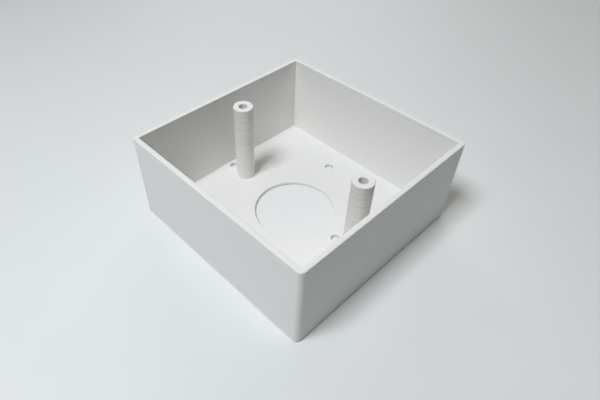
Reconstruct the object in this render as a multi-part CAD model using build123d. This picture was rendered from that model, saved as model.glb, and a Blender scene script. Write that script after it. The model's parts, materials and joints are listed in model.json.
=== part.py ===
from build123d import *

import os

# Surface wall box for a square wiring accessory, printed in one piece.
# The back face lies on Z = 0 with its centre at the origin, and the open front looks along +Z.
# The accessory's two screws stand on the X axis.

# Box, in millimetres
BOX_SIDE = 86.0  # outer width of the square front
INNER_DEPTH = 35.0  # floor to rim
FLOOR = 1.5
WALL = 2.0
CORNER_RADIUS = 2.0  # outer upright edges; the inner ones are sharp

# Screw posts, which end flush with the rim
SCREW_SPACING = 60.3  # between the accessory's two screws
POST_DIAMETER = 8.0
PILOT_DIAMETER = 3.3  # the screws cut their own thread in it
PILOT_STOP = 3.0  # left solid between the pilot bore and the floor

# Openings in the floor
CABLE_HOLE_DIAMETER = 32.5
FIXING_CIRCLE = 60.3  # diameter that the wall screws lie on
FIXING_COUNT = 4
FIXING_DIAMETER = 3.5
FIXING_SHIFT = 8.0  # the circle sits this far to -X, so that no wall screw meets a post

BOX_HEIGHT = FLOOR + INNER_DEPTH
INNER_SIDE = BOX_SIDE - 2 * WALL


def tray() -> Part:
    """Floor and four walls, with rounded outer corners and a crisp rim."""
    block = extrude(RectangleRounded(BOX_SIDE, BOX_SIDE, CORNER_RADIUS), BOX_HEIGHT)
    hollow = extrude(Rectangle(INNER_SIDE, INNER_SIDE), INNER_DEPTH)
    return block - Pos(Z=FLOOR) * hollow


def screw_post() -> Part:
    """Round post from the floor to the rim, with a blind pilot bore from the top."""
    post = extrude(Circle(POST_DIAMETER / 2), INNER_DEPTH)
    pilot = extrude(Circle(PILOT_DIAMETER / 2), INNER_DEPTH - PILOT_STOP)
    return Pos(Z=FLOOR) * (post - Pos(Z=PILOT_STOP) * pilot)


def floor_openings() -> Part:
    """Cable hole and wall screw holes, as the solid that they take out of the floor."""
    screw_places = Pos(X=-FIXING_SHIFT) * PolarLocations(FIXING_CIRCLE / 2, FIXING_COUNT)
    outline = Circle(CABLE_HOLE_DIAMETER / 2) + screw_places * Circle(FIXING_DIAMETER / 2)
    return extrude(outline, FLOOR)


def mount_box() -> Part:
    """The whole box."""
    post_places = GridLocations(SCREW_SPACING, 0, 2, 1)
    return tray() - floor_openings() + post_places * screw_post()


os.makedirs("parts", exist_ok=True)
export_step(mount_box(), "parts/mount_box.step")
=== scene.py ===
"""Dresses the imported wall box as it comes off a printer, on a pale table in soft light.

The box is one piece of white plastic. Its upright faces are built layer by layer along the outlines
that the nozzle followed, and its level faces close them.
"""

import json
import logging
import math
from collections.abc import Callable
from dataclasses import dataclass
from enum import Enum
from typing import Any

import bmesh
import bpy
from mathutils import Matrix, Vector


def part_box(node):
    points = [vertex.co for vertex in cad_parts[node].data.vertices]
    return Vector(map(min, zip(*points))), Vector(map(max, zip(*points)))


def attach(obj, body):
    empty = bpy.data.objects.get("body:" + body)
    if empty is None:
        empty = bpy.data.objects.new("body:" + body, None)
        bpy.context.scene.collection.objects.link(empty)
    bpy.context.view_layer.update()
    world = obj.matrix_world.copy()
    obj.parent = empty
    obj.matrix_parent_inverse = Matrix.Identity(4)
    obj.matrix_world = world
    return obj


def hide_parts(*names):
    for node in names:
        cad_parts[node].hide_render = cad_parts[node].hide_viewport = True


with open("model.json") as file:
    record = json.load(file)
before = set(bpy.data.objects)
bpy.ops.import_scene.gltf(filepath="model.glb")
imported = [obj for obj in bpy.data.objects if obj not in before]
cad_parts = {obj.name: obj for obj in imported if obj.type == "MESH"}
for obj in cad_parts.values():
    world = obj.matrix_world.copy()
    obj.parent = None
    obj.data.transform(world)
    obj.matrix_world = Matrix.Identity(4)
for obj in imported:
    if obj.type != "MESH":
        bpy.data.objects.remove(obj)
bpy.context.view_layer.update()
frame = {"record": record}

LOG = logging.getLogger("wall_box")

MM = 0.001  # lengths are in metres
TOUCH = 0.001 * MM  # points nearer than this are one point
ROWS_PER_LAYER = 2.0  # a printed layer has a row of points at its seam and one at its crest
ACROSS_STRANDS = "across_strands"  # distance across the printed lines of a level face, in metres
LAYER_INSET = "layer_inset"  # how far a layer wandered back from its outline, in metres
SEAM = "seam"  # true on the rows where one layer meets the next
MIX_A, MIX_B, MIX_RESULT = 6, 7, 2  # colour sockets of a Mix node


def add_node(
    tree: bpy.types.NodeTree,
    kind: str,
    settings: dict[str, Any] | None = None,
    sockets: dict[str | int, Any] | None = None,
) -> bpy.types.NodeOutputs:
    """Adds a node with its settings, and sets or links its inputs.

    Args:
        tree: Shader or geometry tree that takes the node.
        kind: Blender's name for this kind of node.
        settings: The node's own properties, by name.
        sockets: Its inputs, by name or index. An output of another node is linked, and a value is set.

    Returns:
        The outputs of the new node.
    """
    node = tree.nodes.new(kind)
    for name, value in (settings or {}).items():
        setattr(node, name, value)
    for key, value in (sockets or {}).items():
        if isinstance(value, bpy.types.NodeSocket):
            tree.links.new(value, node.inputs[key])
        else:
            node.inputs[key].default_value = value
    return node.outputs


def linear(colour: str) -> tuple[float, float, float, float]:
    """Turns an sRGB colour into linear light, by the curve that the standard gives.

    Args:
        colour: Hex value such as "#E8E9E8".

    Returns:
        Red, green, blue and an alpha of 1.
    """
    shares = [int(colour[start : start + 2], 16) / 255 for start in (1, 3, 5)]
    red, green, blue = (s / 12.92 if s <= 0.04045 else ((s + 0.055) / 1.055) ** 2.4 for s in shares)
    return red, green, blue, 1.0


def add_object(name: str, data: bpy.types.ID) -> bpy.types.Object:
    """Puts new data into the scene as an object at the origin.

    Args:
        name: Name of the object.
        data: Its mesh, lamp or camera.

    Returns:
        The linked object.
    """
    made = bpy.data.objects.new(name, data)
    bpy.context.scene.collection.objects.link(made)
    return made


def new_material(name: str) -> bpy.types.Material:
    """Makes a material whose tree has no nodes yet.

    Args:
        name: What the material is, and how its surface was made.

    Returns:
        The material.
    """
    made = bpy.data.materials.new(name)
    made.use_nodes = True
    made.node_tree.nodes.clear()
    return made


def circle(centre: Vector, radius: float, points: int) -> list[Vector]:
    """Gives the points of a level circle, counter-clockwise.

    Args:
        centre: Centre of the circle.
        radius: Its radius in metres.
        points: How many points it has.

    Returns:
        The points in order.
    """
    turns = (math.tau * index / points for index in range(points))
    return [centre + Vector((radius * math.cos(a), radius * math.sin(a), 0)) for a in turns]


def sharp_square(side: float) -> list[Vector]:
    """Gives the four corners of a level square of this width, counter-clockwise."""
    half = side / 2
    return [Vector((x * half, y * half, 0)) for x, y in ((1, -1), (1, 1), (-1, 1), (-1, -1))]


def rounded_square(side: float, radius: float, steps: int, lead: float) -> list[Vector]:
    """Gives the points of a level square with round corners, counter-clockwise.

    Args:
        side: Width of the square in metres.
        radius: Radius of its corners.
        steps: How many chords each corner has.
        lead: Length of the short chord on the straight side before and after each corner, which keeps
            the shading of the corner from running along the side.

    Returns:
        The points in order.
    """
    reach = side / 2 - radius
    corner = [Vector((reach + radius, reach - lead, 0))]
    for step in range(steps + 1):
        angle = math.pi / 2 * step / steps
        corner.append(Vector((reach + radius * math.cos(angle), reach + radius * math.sin(angle), 0)))
    corner.append(Vector((reach - lead, reach + radius, 0)))
    turns = [Matrix.Rotation(math.pi / 2 * quarter, 3, "Z") for quarter in range(4)]
    return [turn @ point for turn in turns for point in corner]


@dataclass(frozen=True)
class PrintedPlastic:
    """White PLA, printed hot in thin layers."""

    # Its strands are satin, but so fine that the eye sees a soft matt white. Faint level bands show on the
    # posts,
    # where layers lie back: partly their real relief, partly painted shade in their colour. Fine lines show
    # across the flat faces from close by.
    name: str = "white_pla_printed_in_layers"
    colour: str = "#EEEDE9"
    colour_dull: str = "#EBEAE6"  # where the strand was laid a little hotter
    patch: float = 14.0 * MM  # size of those places
    patch_detail: float = 3.0  # octaves of finer places within them
    painted_shade_colour: str = "#E2E1DD"  # painted shade: a layer that lies back is coloured darker, as it would catch less light
    inset: float = 0.07 * MM  # how far back a layer lies that gets the full painted shade
    roughness: float = 0.5
    roughness_spread: float = 0.08
    ior: float = 1.46
    strand: float = 0.5 * MM  # width of one printed line, true to size
    strand_relief: float = 0.012 * MM

    def banded_with_painted_shade(self, tree: bpy.types.NodeTree, patches: bpy.types.NodeSocket) -> bpy.types.NodeSocket:
        """Colours the plastic, with painted shade in a band where a layer lies back.

        Args:
            tree: Nodes of the material.
            patches: Where the plastic is duller.

        Returns:
            The colour.
        """
        tint = add_node(
            tree,
            "ShaderNodeMix",
            {"data_type": "RGBA"},
            {"Factor": patches, MIX_A: linear(self.colour), MIX_B: linear(self.colour_dull)},
        )[MIX_RESULT]
        back = add_node(tree, "ShaderNodeAttribute", {"attribute_name": LAYER_INSET})["Fac"]
        shade = add_node(
            tree, "ShaderNodeMapRange", sockets={"Value": back, "From Max": self.inset}
        )["Result"]
        # Painted shade: the further a layer lies back, the darker its colour.
        return add_node(
            tree,
            "ShaderNodeMix",
            {"data_type": "RGBA"},
            {"Factor": shade, MIX_A: tint, MIX_B: linear(self.painted_shade_colour)},
        )[MIX_RESULT]

    def ridged(self, tree: bpy.types.NodeTree) -> bpy.types.NodeSocket:
        """Raises the strands of the level faces as low round ridges, with a sharp seam between each two.

        Args:
            tree: Nodes of the material.

        Returns:
            The normal.
        """
        across = add_node(tree, "ShaderNodeAttribute", {"attribute_name": ACROSS_STRANDS})["Fac"]
        turn = add_node(
            tree, "ShaderNodeMath", {"operation": "MULTIPLY"}, {0: across, 1: math.pi / self.strand}
        )[0]
        swing = add_node(tree, "ShaderNodeMath", {"operation": "SINE"}, {0: turn})[0]
        ridge = add_node(tree, "ShaderNodeMath", {"operation": "ABSOLUTE"}, {0: swing})[0]
        return add_node(
            tree,
            "ShaderNodeBump",
            sockets={"Height": ridge, "Distance": self.strand_relief, "Strength": 1.0},
        )["Normal"]

    def material(self) -> bpy.types.Material:
        """Builds the plastic.

        Returns:
            A material with painted shade in the bands of its layers, and the lines of its level faces.
        """
        made = new_material(self.name)
        tree = made.node_tree
        place = add_node(tree, "ShaderNodeTexCoord")["Object"]
        patches = add_node(
            tree,
            "ShaderNodeTexNoise",
            sockets={"Vector": place, "Scale": 1 / self.patch, "Detail": self.patch_detail},
        )["Fac"]
        gloss = add_node(
            tree,
            "ShaderNodeMapRange",
            sockets={
                "Value": patches,
                "To Min": self.roughness - self.roughness_spread,
                "To Max": self.roughness + self.roughness_spread,
            },
        )["Result"]
        shader = add_node(
            tree,
            "ShaderNodeBsdfPrincipled",
            sockets={
                "Base Color": self.banded_with_painted_shade(tree, patches),
                "Roughness": gloss,
                "IOR": self.ior,
                "Normal": self.ridged(tree),
            },
        )["BSDF"]
        add_node(tree, "ShaderNodeOutputMaterial", sockets={"Surface": shader})
        return made


@dataclass(frozen=True)
class Backdrop:
    """Pale paper far behind the table, which is seen and reflected but lights nothing."""

    colour: str = "#CDD3D6"

    def shown(self, tree: bpy.types.NodeTree) -> bpy.types.NodeSocket:
        """Tells the rays that show the paper from those that light the object.

        Args:
            tree: Nodes of the world or of the table.

        Returns:
            A value of 1 for rays that the camera, a reflection or clear material sends out.
        """
        rays = add_node(tree, "ShaderNodeLightPath")
        shown = rays["Is Camera Ray"]
        for kind in ("Is Glossy Ray", "Is Transmission Ray"):
            shown = add_node(
                tree, "ShaderNodeMath", {"operation": "MAXIMUM"}, {0: shown, 1: rays[kind]}
            )[0]
        return shown


@dataclass(frozen=True)
class TableTop:
    """Board, painted with a roller."""

    # The paint dried matt, so the eye sees a pale, slightly cool white with faint clouds and no shine.
    name: str = "pale_board_painted_matt"
    colour: str = "#EBEDEA"
    colour_dull: str = "#E8EAE8"
    patch: float = 30.0 * MM  # width of the roller's overlaps
    patch_detail: float = 4.0  # octaves of finer clouds within them
    roughness: float = 0.6
    fade: tuple[float, float] = (0.35, 0.7)  # metres from the box, over which it runs into the backdrop

    def material(self, backdrop: Backdrop) -> bpy.types.Material:
        """Builds the paint.

        Args:
            backdrop: What lies behind the board.

        Returns:
            A matt material with faint clouds in its colour, which fades into the backdrop far off.
        """
        made = new_material(self.name)
        tree = made.node_tree
        place = add_node(tree, "ShaderNodeTexCoord")["Object"]
        clouds = add_node(
            tree,
            "ShaderNodeTexNoise",
            sockets={"Vector": place, "Scale": 1 / self.patch, "Detail": self.patch_detail},
        )["Fac"]
        tint = add_node(
            tree,
            "ShaderNodeMix",
            {"data_type": "RGBA"},
            {"Factor": clouds, MIX_A: linear(self.colour), MIX_B: linear(self.colour_dull)},
        )[MIX_RESULT]
        paint = add_node(
            tree, "ShaderNodeBsdfPrincipled", sockets={"Base Color": tint, "Roughness": self.roughness}
        )["BSDF"]
        away = add_node(tree, "ShaderNodeVectorMath", {"operation": "LENGTH"}, {0: place})["Value"]
        near_end, far_end = self.fade
        far = add_node(
            tree,
            "ShaderNodeMapRange",
            {"interpolation_type": "SMOOTHSTEP"},
            {"Value": away, "From Min": near_end, "From Max": far_end},
        )["Result"]
        share = add_node(
            tree, "ShaderNodeMath", {"operation": "MULTIPLY"}, {0: far, 1: backdrop.shown(tree)}
        )[0]
        paper = add_node(tree, "ShaderNodeEmission", sockets={"Color": linear(backdrop.colour)})[0]
        shader = add_node(tree, "ShaderNodeMixShader", sockets={0: share, 1: paint, 2: paper})[0]
        add_node(tree, "ShaderNodeOutputMaterial", sockets={"Surface": shader})
        return made


class Side(Enum):
    """Where the plastic lies from a counter-clockwise outline, as the sign of the way to it."""

    WITHIN = -1
    AROUND = 1


@dataclass(frozen=True)
class UprightFace:
    """A face that rises from one or more closed outlines, layer on layer."""

    name: str
    outlines: list[list[Vector]]
    side: Side
    foot: float
    top: float
    sway: float = 0.0  # how far a layer wanders back at most
    foot_round: float = 0.0  # how far the lowest edge lies back, where it is open
    top_round: float = 0.0  # how far the highest edge lies back, where it is open

    def outline_mesh(self) -> bpy.types.Mesh:
        """Draws the outlines.

        Returns:
            Closed loops of edges at the foot of the face.
        """
        points: list[Vector] = []
        edges: list[tuple[int, int]] = []
        for outline in self.outlines:
            first, count = len(points), len(outline)
            points += [point + Vector((0, 0, self.foot)) for point in outline]
            edges += [(first + index, first + (index + 1) % count) for index in range(count)]
        made = bpy.data.meshes.new(self.name)
        made.from_pydata(points, edges, [])
        return made


@dataclass(frozen=True)
class LevelFace:
    """A flat face that closes the upright faces which end at its height."""

    name: str
    height: float
    covers: Callable[[Vector], bool]  # whether a point of that height is on this face's edge
    across: Callable[[Vector], float]  # distance across the printed lines there

    def fill(self, solid: bmesh.types.BMesh, strands: bmesh.types.BMLayerItem) -> None:
        """Fills the open loops of edges at this height.

        Args:
            solid: Mesh with the upright faces.
            strands: Layer that takes the distance across the printed lines.
        """
        edges = [
            edge
            for edge in solid.edges
            if edge.is_boundary
            and all(abs(vert.co.z - self.height) < TOUCH and self.covers(vert.co) for vert in edge.verts)
        ]
        filled = bmesh.ops.triangle_fill(solid, edges=edges, use_beauty=True)["geom"]
        for edge in edges:
            edge.smooth = False
        for face in filled:
            if isinstance(face, bmesh.types.BMFace):
                face.smooth = False
                for loop in face.loops:
                    loop[strands] = self.across(loop.vert.co)


@dataclass(frozen=True)
class LayerStack:
    """Rule by which the printer stacks its layers along an outline."""

    layer: float = 0.25 * MM  # height of one layer
    groove: float = 0.02 * MM  # how far the seam between two layers lies behind their crests
    # One layer is too fine to show from a step away, so layers wander back a few at a time.
    sway_span: float = 1.2 * MM  # height over which the layers wander back and out again
    sway_detail: float = 3.0  # octaves of finer wandering within that height
    sway_from: float = 0.48  # level of the noise above which a layer wanders back
    sway_to: float = 0.72  # level at which it lies back furthest
    rounded: int = 1  # how many layers round an open edge
    corner: float = math.radians(30)  # an upright edge that turns more than this stays crisp
    seed: float = 0.37  # fixed, so that every box wanders alike

    def add_wander(
        self,
        tree: bpy.types.GeometryNodeTree,
        given: bpy.types.NodeOutputs,
        row: bpy.types.NodeSocket,
        climb: bpy.types.NodeSocket,
    ) -> bpy.types.NodeSocket:
        """Lets a few layers wander back here and there.

        Args:
            tree: Geometry nodes that take the rule.
            given: Inputs of the tree.
            row: Number of a row in the section.
            climb: Way from one row to the next.

        Returns:
            How far back the row lies for it.
        """
        place = add_node(
            tree, "ShaderNodeMath", {"operation": "MULTIPLY_ADD"}, {0: row, 1: climb, 2: given["Seed"]}
        )[0]
        turns = add_node(
            tree, "ShaderNodeMath", {"operation": "DIVIDE"}, {0: 1.0, 1: given["Sway Span"]}
        )[0]
        drift = add_node(
            tree,
            "ShaderNodeTexNoise",
            {"noise_dimensions": "1D"},
            {"W": place, "Scale": turns, "Detail": self.sway_detail},
        )["Fac"]
        wander = add_node(
            tree,
            "ShaderNodeMapRange",
            sockets={"Value": drift, "From Min": self.sway_from, "From Max": self.sway_to},
        )["Result"]
        return add_node(tree, "ShaderNodeMath", {"operation": "MULTIPLY"}, {0: wander, 1: given["Sway"]})[0]

    def add_rounding(
        self,
        tree: bpy.types.GeometryNodeTree,
        given: bpy.types.NodeOutputs,
        row: bpy.types.NodeSocket,
        top_row: bpy.types.NodeSocket,
        depth: bpy.types.NodeSocket,
    ) -> bpy.types.NodeSocket:
        """Rounds the section where it ends in the open.

        Args:
            tree: Geometry nodes that take the rule.
            given: Inputs of the tree.
            row: Number of a row in the section.
            top_row: Number of the last row.
            depth: How far back the row lies without the rounding.

        Returns:
            How far back it lies with the rounding.
        """
        below_top = add_node(tree, "ShaderNodeMath", {"operation": "SUBTRACT"}, {0: top_row, 1: row})[0]
        reach = ROWS_PER_LAYER * self.rounded
        for name, away in (("Foot Round", row), ("Top Round", below_top)):
            near = add_node(
                tree,
                "ShaderNodeMapRange",
                sockets={"Value": away, "From Max": reach, "To Min": 1.0, "To Max": 0.0},
            )["Result"]
            curve = add_node(tree, "ShaderNodeMath", {"operation": "MULTIPLY"}, {0: near, 1: near})[0]
            depth = add_node(
                tree, "ShaderNodeMath", {"operation": "MULTIPLY_ADD"}, {0: curve, 1: given[name], 2: depth}
            )[0]
        return depth

    def add_section(
        self, tree: bpy.types.GeometryNodeTree, given: bpy.types.NodeOutputs
    ) -> bpy.types.NodeSocket:
        """Draws the section of the stack from its foot to its top.

        Args:
            tree: Geometry nodes that take the section.
            given: Inputs of the tree.

        Returns:
            An open curve, whose -Y the sweep turns upwards and whose X it turns out of the outline.
        """
        # The line climbs two rows for each layer, a seam and a crest, and ends on a seam.
        row = add_node(tree, "GeometryNodeInputIndex")[0]
        top_row = add_node(
            tree, "ShaderNodeMath", {"operation": "MULTIPLY"}, {0: given["Layers"], 1: ROWS_PER_LAYER}
        )[0]
        rows = add_node(tree, "ShaderNodeMath", {"operation": "ADD"}, {0: top_row, 1: 1.0})[0]
        climb = add_node(
            tree,
            "ShaderNodeMath",
            {"operation": "MULTIPLY"},
            {0: given["Layer Height"], 1: -1 / ROWS_PER_LAYER},
        )[0]
        step = add_node(tree, "ShaderNodeCombineXYZ", sockets={"Y": climb})[0]
        line = add_node(tree, "GeometryNodeMeshLine", sockets={"Count": rows, "Offset": step})["Mesh"]
        on_crest = add_node(tree, "ShaderNodeMath", {"operation": "MODULO"}, {0: row, 1: ROWS_PER_LAYER})[0]
        on_seam = add_node(tree, "ShaderNodeMath", {"operation": "SUBTRACT"}, {0: 1.0, 1: on_crest})[0]
        flagged = add_node(
            tree,
            "GeometryNodeStoreNamedAttribute",
            {"data_type": "BOOLEAN", "domain": "POINT"},
            {"Geometry": line, "Name": SEAM, "Value": on_seam},
        )["Geometry"]

        # Its seams lie back by the groove. Layers that wander and ends that are rounded add to that.
        bend = self.add_wander(tree, given, row, climb)
        depth = add_node(
            tree, "ShaderNodeMath", {"operation": "MULTIPLY_ADD"}, {0: on_seam, 1: given["Groove"], 2: bend}
        )[0]
        depth = self.add_rounding(tree, given, row, top_row, depth)
        inset = add_node(
            tree, "ShaderNodeMath", {"operation": "MULTIPLY"}, {0: depth, 1: given["Way In"]}
        )[0]
        shift = add_node(tree, "ShaderNodeCombineXYZ", sockets={"X": inset})[0]
        bent = add_node(tree, "GeometryNodeSetPosition", sockets={"Geometry": flagged, "Offset": shift})[0]
        noted = add_node(
            tree,
            "GeometryNodeStoreNamedAttribute",
            {"data_type": "FLOAT", "domain": "POINT"},
            {"Geometry": bent, "Name": LAYER_INSET, "Value": bend},
        )["Geometry"]
        return add_node(tree, "GeometryNodeMeshToCurve", sockets={"Mesh": noted})["Curve"]

    def add_sweep(
        self,
        tree: bpy.types.GeometryNodeTree,
        given: bpy.types.NodeOutputs,
        section: bpy.types.NodeSocket,
    ) -> bpy.types.NodeSocket:
        """Sweeps the section along each outline, with crisp seams and crisp upright corners.

        Args:
            tree: Geometry nodes that take the sweep.
            given: Inputs of the tree.
            section: The section of the stack.

        Returns:
            The swept faces.
        """
        loops = add_node(tree, "GeometryNodeMeshToCurve", sockets={"Mesh": given["Outlines"]})["Curve"]
        path = add_node(tree, "GeometryNodeSetCurveNormal", {"mode": "Z_UP"}, {"Curve": loops})["Curve"]
        skin = add_node(
            tree, "GeometryNodeCurveToMesh", sockets={"Curve": path, "Profile Curve": section}
        )["Mesh"]
        seams = add_node(
            tree, "GeometryNodeInputNamedAttribute", {"data_type": "BOOLEAN"}, {"Name": SEAM}
        )["Attribute"]
        angle = add_node(tree, "GeometryNodeInputMeshEdgeAngle")["Unsigned Angle"]
        corners = add_node(
            tree, "FunctionNodeCompare", {"operation": "GREATER_THAN"}, {"A": angle, "B": given["Corner"]}
        )["Result"]
        crisp = add_node(tree, "FunctionNodeBooleanMath", {"operation": "OR"}, {0: seams, 1: corners})[0]
        creased = add_node(
            tree,
            "GeometryNodeSetShadeSmooth",
            {"domain": "EDGE"},
            {"Geometry": skin, "Selection": crisp, "Shade Smooth": False},
        )["Geometry"]
        return add_node(tree, "GeometryNodeRemoveAttribute", sockets={"Geometry": creased, "Name": SEAM})[0]

    def tree(self) -> bpy.types.GeometryNodeTree:
        """Builds the geometry nodes that sweep a stack of layers along closed outlines.

        Returns:
            A tree whose inputs are the outlines, the sizes and the material.
        """
        tree = bpy.data.node_groups.new("printed_layers", "GeometryNodeTree")
        inputs = {
            "Outlines": "NodeSocketGeometry",
            "Layers": "NodeSocketInt",
            "Layer Height": "NodeSocketFloat",
            "Groove": "NodeSocketFloat",
            "Sway": "NodeSocketFloat",
            "Sway Span": "NodeSocketFloat",
            "Foot Round": "NodeSocketFloat",
            "Top Round": "NodeSocketFloat",
            "Way In": "NodeSocketFloat",
            "Corner": "NodeSocketFloat",
            "Seed": "NodeSocketFloat",
            "Material": "NodeSocketMaterial",
        }
        for name, kind in inputs.items():
            tree.interface.new_socket(name, in_out="INPUT", socket_type=kind)
        tree.interface.new_socket("Skin", in_out="OUTPUT", socket_type="NodeSocketGeometry")
        given = add_node(tree, "NodeGroupInput")
        swept = self.add_sweep(tree, given, self.add_section(tree, given))
        whole = add_node(tree, "GeometryNodeRealizeInstances", sockets={"Geometry": swept})[0]
        dressed = add_node(
            tree, "GeometryNodeSetMaterial", sockets={"Geometry": whole, "Material": given["Material"]}
        )[0]
        add_node(tree, "NodeGroupOutput", sockets={"Skin": dressed})
        return tree

    def skin(
        self, face: UprightFace, tree: bpy.types.GeometryNodeTree, material: bpy.types.Material
    ) -> bpy.types.Mesh:
        """Sweeps the layers of one upright face.

        Args:
            face: The face, with its outlines and heights.
            tree: Geometry nodes that sweep the layers.
            material: What the layers are printed in.

        Returns:
            The face as a plain mesh, open at its foot and top.
        """
        values = {
            "Layers": round((face.top - face.foot) / self.layer),
            "Layer Height": self.layer,
            "Groove": self.groove,
            "Sway": face.sway,
            "Sway Span": self.sway_span,
            "Foot Round": face.foot_round,
            "Top Round": face.top_round,
            "Way In": float(face.side.value),
            "Corner": self.corner,
            "Seed": self.seed - face.foot,  # so that a layer wanders on every face at its height
            "Material": material,
        }
        holder = add_object(face.name, face.outline_mesh())
        modifier = holder.modifiers.new("layers", "NODES")
        modifier.node_group = tree
        for socket in tree.interface.items_tree:
            if socket.name in values:
                modifier[socket.identifier] = values[socket.name]
        evaluated = holder.evaluated_get(bpy.context.evaluated_depsgraph_get())
        made = bpy.data.meshes.new_from_object(evaluated)
        outline = holder.data
        holder.modifiers.remove(modifier)
        bpy.data.objects.remove(holder)
        bpy.data.meshes.remove(outline)
        return made


@dataclass(frozen=True)
class MountBox:
    """The wall box: a square tray with two screw posts and the openings in its floor."""

    side: float
    height: float
    floor: float
    screw_spacing: float
    pilot_radius: float
    cable_radius: float
    fixing_circle: float
    fixing_radius: float
    fixing_count: int
    fixing_centre: Vector
    # The part has these sizes too, but its mounts don't give them.
    wall: float = 2.0 * MM
    corner_radius: float = 2.0 * MM
    post_radius: float = 4.0 * MM
    pilot_stop: float = 3.0 * MM  # solid plastic between a pilot bore and the floor
    # What printing adds to them.
    stack: LayerStack = LayerStack()
    finish: PrintedPlastic = PrintedPlastic()
    edge_round: float = 0.25 * MM  # how far an open edge lies back
    post_sway: float = 0.06 * MM  # a slender post wanders more than a long wall
    wall_sway: float = 0.008 * MM
    # How finely the outlines are drawn.
    corner_steps: int = 16
    corner_lead: float = 0.4 * MM  # short chord on the straight side beside each round corner
    cable_points: int = 144
    small_points: int = 40
    post_points: int = 48

    @classmethod
    def from_frame(cls) -> "MountBox":
        """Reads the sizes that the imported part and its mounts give.

        Returns:
            The box at the part's own size.
        """
        low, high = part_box("mount_box")
        mounts = {mount["name"]: mount for mount in frame["record"]["mounts"]}
        cable, screws = mounts["cable_entry"]["dims"], mounts["accessory_screws"]["dims"]
        fixing = mounts["wall_screws"]["dims"]
        return cls(
            side=high.x - low.x,
            height=high.z - low.z,
            floor=cable["length_mm"] * MM,
            screw_spacing=screws["spacing_x_mm"] * MM,
            pilot_radius=screws["hole_r_mm"] * MM,
            cable_radius=cable["r_mm"] * MM,
            fixing_circle=fixing["pcd_mm"] * MM,
            fixing_radius=fixing["hole_r_mm"] * MM,
            fixing_count=fixing["count"],
            fixing_centre=Vector(mounts["wall_screws"]["pos_m"]),
        )

    def bore_foot(self) -> float:
        """Gives the height of the bottom of a pilot bore."""
        return self.floor + self.pilot_stop

    def post_axes(self) -> list[Vector]:
        """Gives the points at the back of the box that lie on the axes of the two screw posts."""
        return [Vector((sign * self.screw_spacing / 2, 0, 0)) for sign in (-1, 1)]

    def from_post(self, point: Vector) -> float:
        """Gives the level distance from a point to the nearest post's axis."""
        return min((point.xy - axis.xy).length for axis in self.post_axes())

    def upright_faces(self) -> list[UprightFace]:
        """Lists the faces that rise in layers.

        Returns:
            Both sides of the walls, the edges of the floor's openings, the posts and their bores.
        """
        outer = rounded_square(self.side, self.corner_radius, self.corner_steps, self.corner_lead)
        inner = sharp_square(self.side - 2 * self.wall)
        cable = circle(Vector(), self.cable_radius, self.cable_points)
        screws = circle(self.fixing_centre, self.fixing_circle / 2, self.fixing_count)
        fixings = [circle(centre, self.fixing_radius, self.small_points) for centre in screws]
        posts = [circle(axis, self.post_radius, self.post_points) for axis in self.post_axes()]
        bores = [circle(axis, self.pilot_radius, self.small_points) for axis in self.post_axes()]
        return [
            UprightFace(
                name="wall_outside",
                outlines=[outer],
                side=Side.WITHIN,
                foot=0.0,
                top=self.height,
                sway=self.wall_sway,
                foot_round=self.edge_round,
                top_round=self.edge_round,
            ),
            UprightFace(
                name="wall_inside",
                outlines=[inner],
                side=Side.AROUND,
                foot=self.floor,
                top=self.height,
                sway=self.wall_sway,
                top_round=self.edge_round,
            ),
            UprightFace(
                name="floor_openings",
                outlines=[cable, *fixings],
                side=Side.AROUND,
                foot=0.0,
                top=self.floor,
                foot_round=self.edge_round,
                top_round=self.edge_round,
            ),
            UprightFace(
                name="screw_posts",
                outlines=posts,
                side=Side.WITHIN,
                foot=self.floor,
                top=self.height,
                sway=self.post_sway,
                top_round=self.edge_round,
            ),
            UprightFace(
                name="pilot_bores",
                outlines=bores,
                side=Side.AROUND,
                foot=self.bore_foot(),
                top=self.height,
                sway=self.wall_sway,
                top_round=self.edge_round,
            ),
        ]

    def level_faces(self) -> list[LevelFace]:
        """Lists the flat faces.

        Returns:
            The back, the floor, the rim, the tops of the posts and the bottoms of their bores.
        """
        around_post = 2 * self.post_radius  # wider than a post, and still clear of the walls
        mid_wall = self.side / 2 - self.wall / 2

        def slanted(point: Vector) -> float:
            """Gives the distance across lines that run at 45 degrees."""
            return (point.x + point.y) / math.sqrt(2)

        def counter_slanted(point: Vector) -> float:
            """Gives the distance across lines that run at 45 degrees the other way."""
            return (point.x - point.y) / math.sqrt(2)

        def along_wall(point: Vector) -> float:
            """Gives the distance across lines that follow the walls."""
            return 0.0 if max(abs(point.x), abs(point.y)) > mid_wall else self.wall

        def near_post(point: Vector) -> bool:
            """Tells whether a point belongs to a post."""
            return self.from_post(point) < around_post

        return [
            LevelFace("back", 0.0, lambda point: True, counter_slanted),
            LevelFace("floor", self.floor, lambda point: True, slanted),
            LevelFace("rim", self.height, lambda point: not near_post(point), along_wall),
            LevelFace("post_tops", self.height, near_post, self.from_post),
            LevelFace("bore_bottoms", self.bore_foot(), near_post, self.from_post),
        ]

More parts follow.
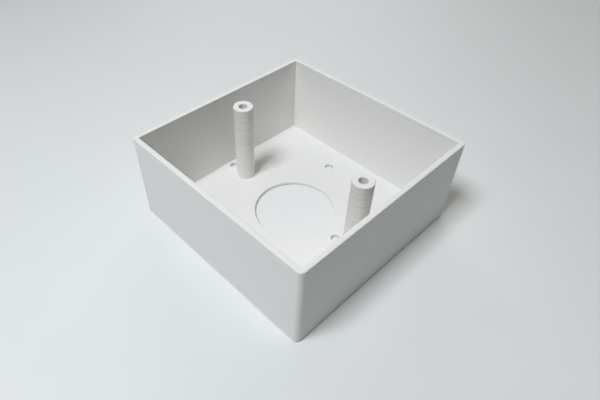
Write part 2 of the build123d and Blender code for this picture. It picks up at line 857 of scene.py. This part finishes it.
    def printed(self, plastic: bpy.types.Material) -> bpy.types.Mesh:
        """Prints the box.

        Args:
            plastic: What it is printed in.

        Returns:
            One closed mesh.

        Raises:
            ValueError: The faces leave a gap.
        """
        tree = self.stack.tree()
        solid = bmesh.new()
        strands = solid.loops.layers.float.new(ACROSS_STRANDS)
        for face in self.upright_faces():
            skin = self.stack.skin(face, tree, plastic)
            solid.from_mesh(skin)
            LOG.info("%s: %d faces", face.name, len(skin.polygons))
            bpy.data.meshes.remove(skin)
        for face in self.level_faces():
            before = len(solid.faces)
            face.fill(solid, strands)
            LOG.info("%s: %d faces", face.name, len(solid.faces) - before)
        bmesh.ops.recalc_face_normals(solid, faces=solid.faces)
        if not all(edge.is_contiguous for edge in solid.edges):
            raise ValueError("the printed box isn't closed")
        LOG.info("mount_box encloses %.0f cubic millimetres", solid.calc_volume() / MM**3)
        mesh = bpy.data.meshes.new("printed_mount_box")
        solid.to_mesh(mesh)
        solid.free()
        mesh.materials.append(plastic)
        return mesh

    def build(self) -> bpy.types.Object:
        """Prints the box and lets it stand for its solid.

        Returns:
            The finished piece.
        """
        piece = add_object("printed_mount_box", self.printed(self.finish.material()))
        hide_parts("mount_box")
        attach(piece, "root")
        return piece


@dataclass(frozen=True)
class SoftLamp:
    """A square lamp with a cloth front, turned to the box."""

    name: str
    place: tuple[float, float, float]
    width: float
    watts: float
    tint: str

    def build(self, target: Vector) -> bpy.types.Object:
        """Hangs the lamp.

        Args:
            target: Point that it shines at.

        Returns:
            The lamp.
        """
        data = bpy.data.lights.new(self.name, "AREA")
        data.size = self.width
        data.energy = self.watts
        data.color = linear(self.tint)[:3]
        lamp = add_object(self.name, data)
        lamp.location = self.place
        lamp.rotation_euler = (target - lamp.location).to_track_quat("-Z", "Y").to_euler()
        lamp.visible_camera = False
        return lamp


@dataclass(frozen=True)
class Viewpoint:
    """Where the photograph was taken from, in the frame of the box."""

    eye: tuple[float, float, float] = (96.71 * MM, -105.79 * MM, 145.33 * MM)
    azimuth: float = math.radians(46.47)  # from -Y towards +X
    elevation: float = math.radians(43.98)  # how steeply it looks down
    focal_pixels: float = 493.6
    frame_pixels: tuple[int, int] = (600, 400)
    straight_ahead: tuple[float, float] = (270.15, 198.01)  # pixel on the lens's axis, from the top left
    sensor: float = 36.0  # millimetres, as wide as the picture
    nearest: float = 1.0 * MM  # what is closer to the lens isn't drawn

    def build(self) -> bpy.types.Object:
        """Sets up the camera.

        Returns:
            The scene's camera.
        """
        width, height = self.frame_pixels
        ahead_x, ahead_y = self.straight_ahead
        data = bpy.data.cameras.new("camera")
        data.sensor_width = self.sensor
        data.lens = self.focal_pixels / width * self.sensor
        data.shift_x = (width / 2 - ahead_x) / width
        data.shift_y = (ahead_y - height / 2) / width
        data.clip_start = self.nearest
        camera = add_object("camera", data)
        level = math.cos(self.elevation)
        back_x, back_y = math.sin(self.azimuth) * level, -math.cos(self.azimuth) * level
        back = Vector((back_x, back_y, math.sin(self.elevation)))
        camera.location = self.eye
        camera.rotation_euler = (-back).to_track_quat("-Z", "Y").to_euler()
        bpy.context.scene.camera = camera
        return camera


@dataclass(frozen=True)
class Studio:
    """Table, lamps, surrounding light and backdrop."""

    table_width: float = 6.0
    table_gap: float = 0.2 * MM  # keeps the table clear of the back of the box, with a dark line between
    finish: TableTop = TableTop()
    surround: str = "#C8C8C4"  # dim light from all sides
    surround_strength: float = 0.02
    backdrop: Backdrop = Backdrop()
    target: tuple[float, float, float] = (0.0, 0.0, 15.0 * MM)  # point that the lamps shine at
    lamps: tuple[SoftLamp, ...] = (
        SoftLamp("high_lamp", place=(0.0, -0.25, 0.53), width=0.17, watts=2.65, tint="#F4F8FF"),
        SoftLamp("back_lamp", place=(-0.45, 0.45, 0.3), width=0.5, watts=1.25, tint="#F8FBFF"),
        SoftLamp("top_lamp", place=(0.0, 0.3, 0.6), width=0.4, watts=0.4, tint="#FFF6E0"),
    )

    def build_table(self) -> bpy.types.Object:
        """Lays the table under the box.

        Returns:
            The table, which isn't part of the object.
        """
        mesh = bpy.data.meshes.new("table")
        corners = [point - Vector((0, 0, self.table_gap)) for point in sharp_square(self.table_width)]
        mesh.from_pydata(corners, [], [range(len(corners))])
        mesh.materials.append(self.finish.material(self.backdrop))
        table = add_object("table", mesh)
        return table

    def build_surround(self) -> bpy.types.World:
        """Gives the world its even light, and the camera and reflections the backdrop.

        Returns:
            The scene's world.
        """
        world = bpy.data.worlds.new("surround")
        bpy.context.scene.world = world
        world.use_nodes = True
        tree = world.node_tree
        tree.nodes.clear()
        light = add_node(
            tree,
            "ShaderNodeBackground",
            sockets={"Color": linear(self.surround), "Strength": self.surround_strength},
        )[0]
        paper = add_node(tree, "ShaderNodeBackground", sockets={"Color": linear(self.backdrop.colour)})[0]
        chosen = add_node(
            tree, "ShaderNodeMixShader", sockets={0: self.backdrop.shown(tree), 1: light, 2: paper}
        )[0]
        add_node(tree, "ShaderNodeOutputWorld", sockets={"Surface": chosen})
        return world

    def build(self) -> None:
        """Builds everything around the box."""
        table = self.build_table()
        LOG.info("%s, %.1f metres wide", table.name, self.table_width)
        world = self.build_surround()
        LOG.info("%s light", world.name)
        for lamp in self.lamps:
            hung = lamp.build(Vector(self.target))
            LOG.info("%s, %.2f metres wide", hung.name, lamp.width)
        bpy.context.scene.view_settings.view_transform = "Standard"


def main() -> None:
    """Builds the box and what is around it, and reports each piece."""
    logging.basicConfig(level=logging.INFO, format="%(name)s: %(message)s")
    piece = MountBox.from_frame().build()
    LOG.info("%s: %d points", piece.name, len(piece.data.vertices))
    Studio().build()
    camera = Viewpoint().build()
    LOG.info("%s at %s", camera.name, tuple(camera.location))


if __name__ == "__main__":
    main()
